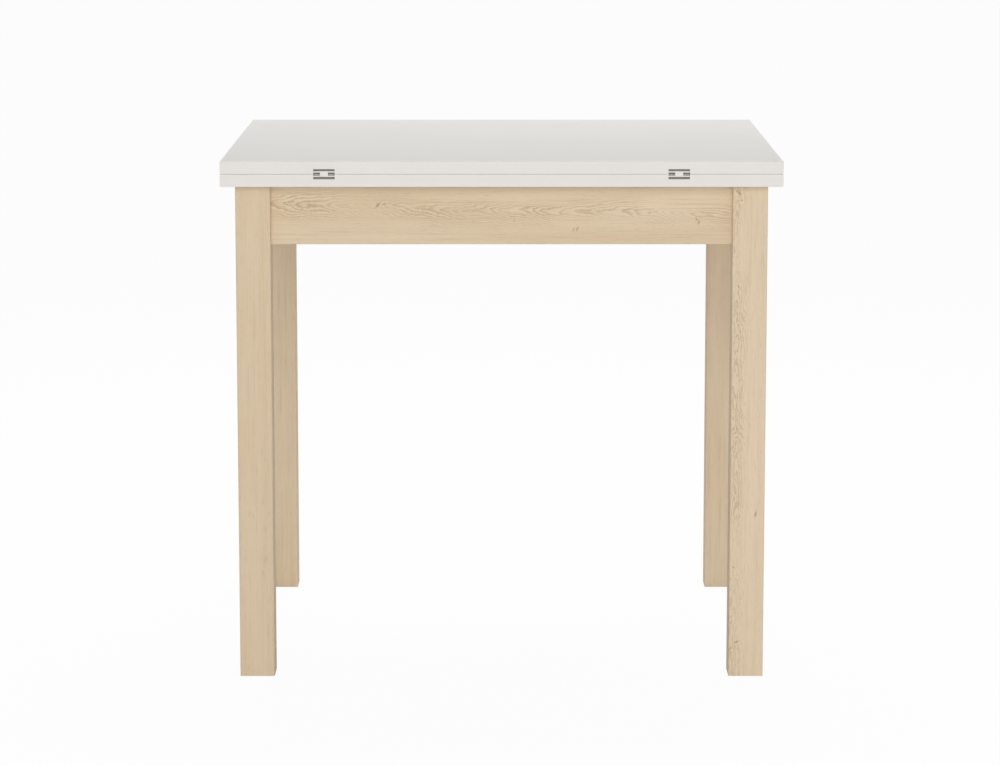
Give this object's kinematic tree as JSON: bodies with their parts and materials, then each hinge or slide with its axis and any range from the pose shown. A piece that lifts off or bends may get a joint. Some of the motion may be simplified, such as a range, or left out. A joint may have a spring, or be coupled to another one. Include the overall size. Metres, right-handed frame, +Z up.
{
  "type": "swivel extending table",
  "caption": "Kitchen table whose folded white top turns a quarter turn on an off-centre pivot and unfolds on link hinges to twice its area, on square oak-look legs.",
  "frame": {"origin": "on the floor, under the middle of the closed top", "axes": "+Z up; +X to the right of someone facing the hinged edge; +Y from the hinged front edge to the rear"},
  "size_m": [0.8, 0.7, 0.755],
  "materials": {
    "oak_leg": "pale oak decor, satin, grain upright",
    "oak_apron": "pale oak decor, satin, grain lengthwise",
    "rail_board": "raw particle board",
    "beech": "plain beech",
    "white_panel": "warm white melamine-faced board, satin",
    "white_edge": "warm white plastic edging, satin",
    "zinc_steel": "bright zinc plate",
    "nickel": "satin nickel plate",
    "nylon": "natural nylon",
    "felt": "pressed felt",
    "glide_plastic": "moulded plastic",
    "rubber": "soft black rubber"
  },
  "bodies": {
    "frame": {"leg_front_left": "oak_leg", "leg_front_right": "oak_leg", "leg_rear_left": "oak_leg", "leg_rear_right": "oak_leg", "apron_front": "oak_apron", "apron_rear": "oak_apron", "apron_left": "oak_apron", "apron_right": "oak_apron", "apron_dowels": "beech", "corner_bracket_front_left": "zinc_steel", "corner_bracket_front_right": "zinc_steel", "corner_bracket_rear_left": "zinc_steel", "corner_bracket_rear_right": "zinc_steel", "corner_bracket_screws": "zinc_steel", "leg_bolts": "zinc_steel", "leg_bolt_washers": "zinc_steel", "leg_bolt_nuts": "zinc_steel", "pivot_rail": "rail_board", "rail_bracket_front": "zinc_steel", "rail_bracket_rear": "zinc_steel", "rail_bracket_screws": "zinc_steel", "pivot_bush": "nylon", "slide_pads": "felt", "foot_glide_front_left": "glide_plastic", "foot_glide_front_right": "glide_plastic", "foot_glide_rear_left": "glide_plastic", "foot_glide_rear_right": "glide_plastic"},
    "table_top": {"base_panel": "white_panel", "base_edge_front": "white_edge", "base_edge_rear": "white_edge", "base_edge_left": "white_edge", "base_edge_right": "white_edge", "pivot_plate": "zinc_steel", "pivot_plate_screws": "zinc_steel", "pivot_bolt": "zinc_steel", "pivot_washer": "zinc_steel", "pivot_nut": "zinc_steel", "stop_peg": "beech", "stop_sleeve": "rubber", "hinge_base_plate_left": "nickel", "hinge_base_pin_left": "nickel", "hinge_base_plate_right": "nickel", "hinge_base_pin_right": "nickel", "hinge_base_screws": "nickel"},
    "hinge_links": {"hinge_link_left": "nickel", "hinge_link_right": "nickel"},
    "leaf": {"leaf_panel": "white_panel", "leaf_edge_front": "white_edge", "leaf_edge_rear": "white_edge", "leaf_edge_left": "white_edge", "leaf_edge_right": "white_edge", "hinge_leaf_plate_left": "nickel", "hinge_leaf_pin_left": "nickel", "hinge_leaf_plate_right": "nickel", "hinge_leaf_pin_right": "nickel", "hinge_leaf_screws": "nickel"}
  },
  "joints": [
    {"name": "top_swivel", "type": "hinge", "parent": "frame", "child": "table_top", "pos_m": [-0.175, -0.175, 0.7186], "axis": [0, 0, 1], "range_deg": [0, 90]},
    {"name": "leaf_fold", "type": "hinge", "parent": "table_top", "child": "leaf", "pos_m": [0, -0.351, 0.7368], "axis": [1, 0, 0], "range_deg": [0, 180]},
    {"name": "link_fold", "type": "hinge", "parent": "table_top", "child": "hinge_links", "pos_m": [0, -0.3478, 0.7336], "axis": [1, 0, 0], "range_deg": [0, 90]}
  ],
  "couplings": [
    {"joint": "link_fold", "follows": "leaf_fold", "ratio": 0.5}
  ]
}
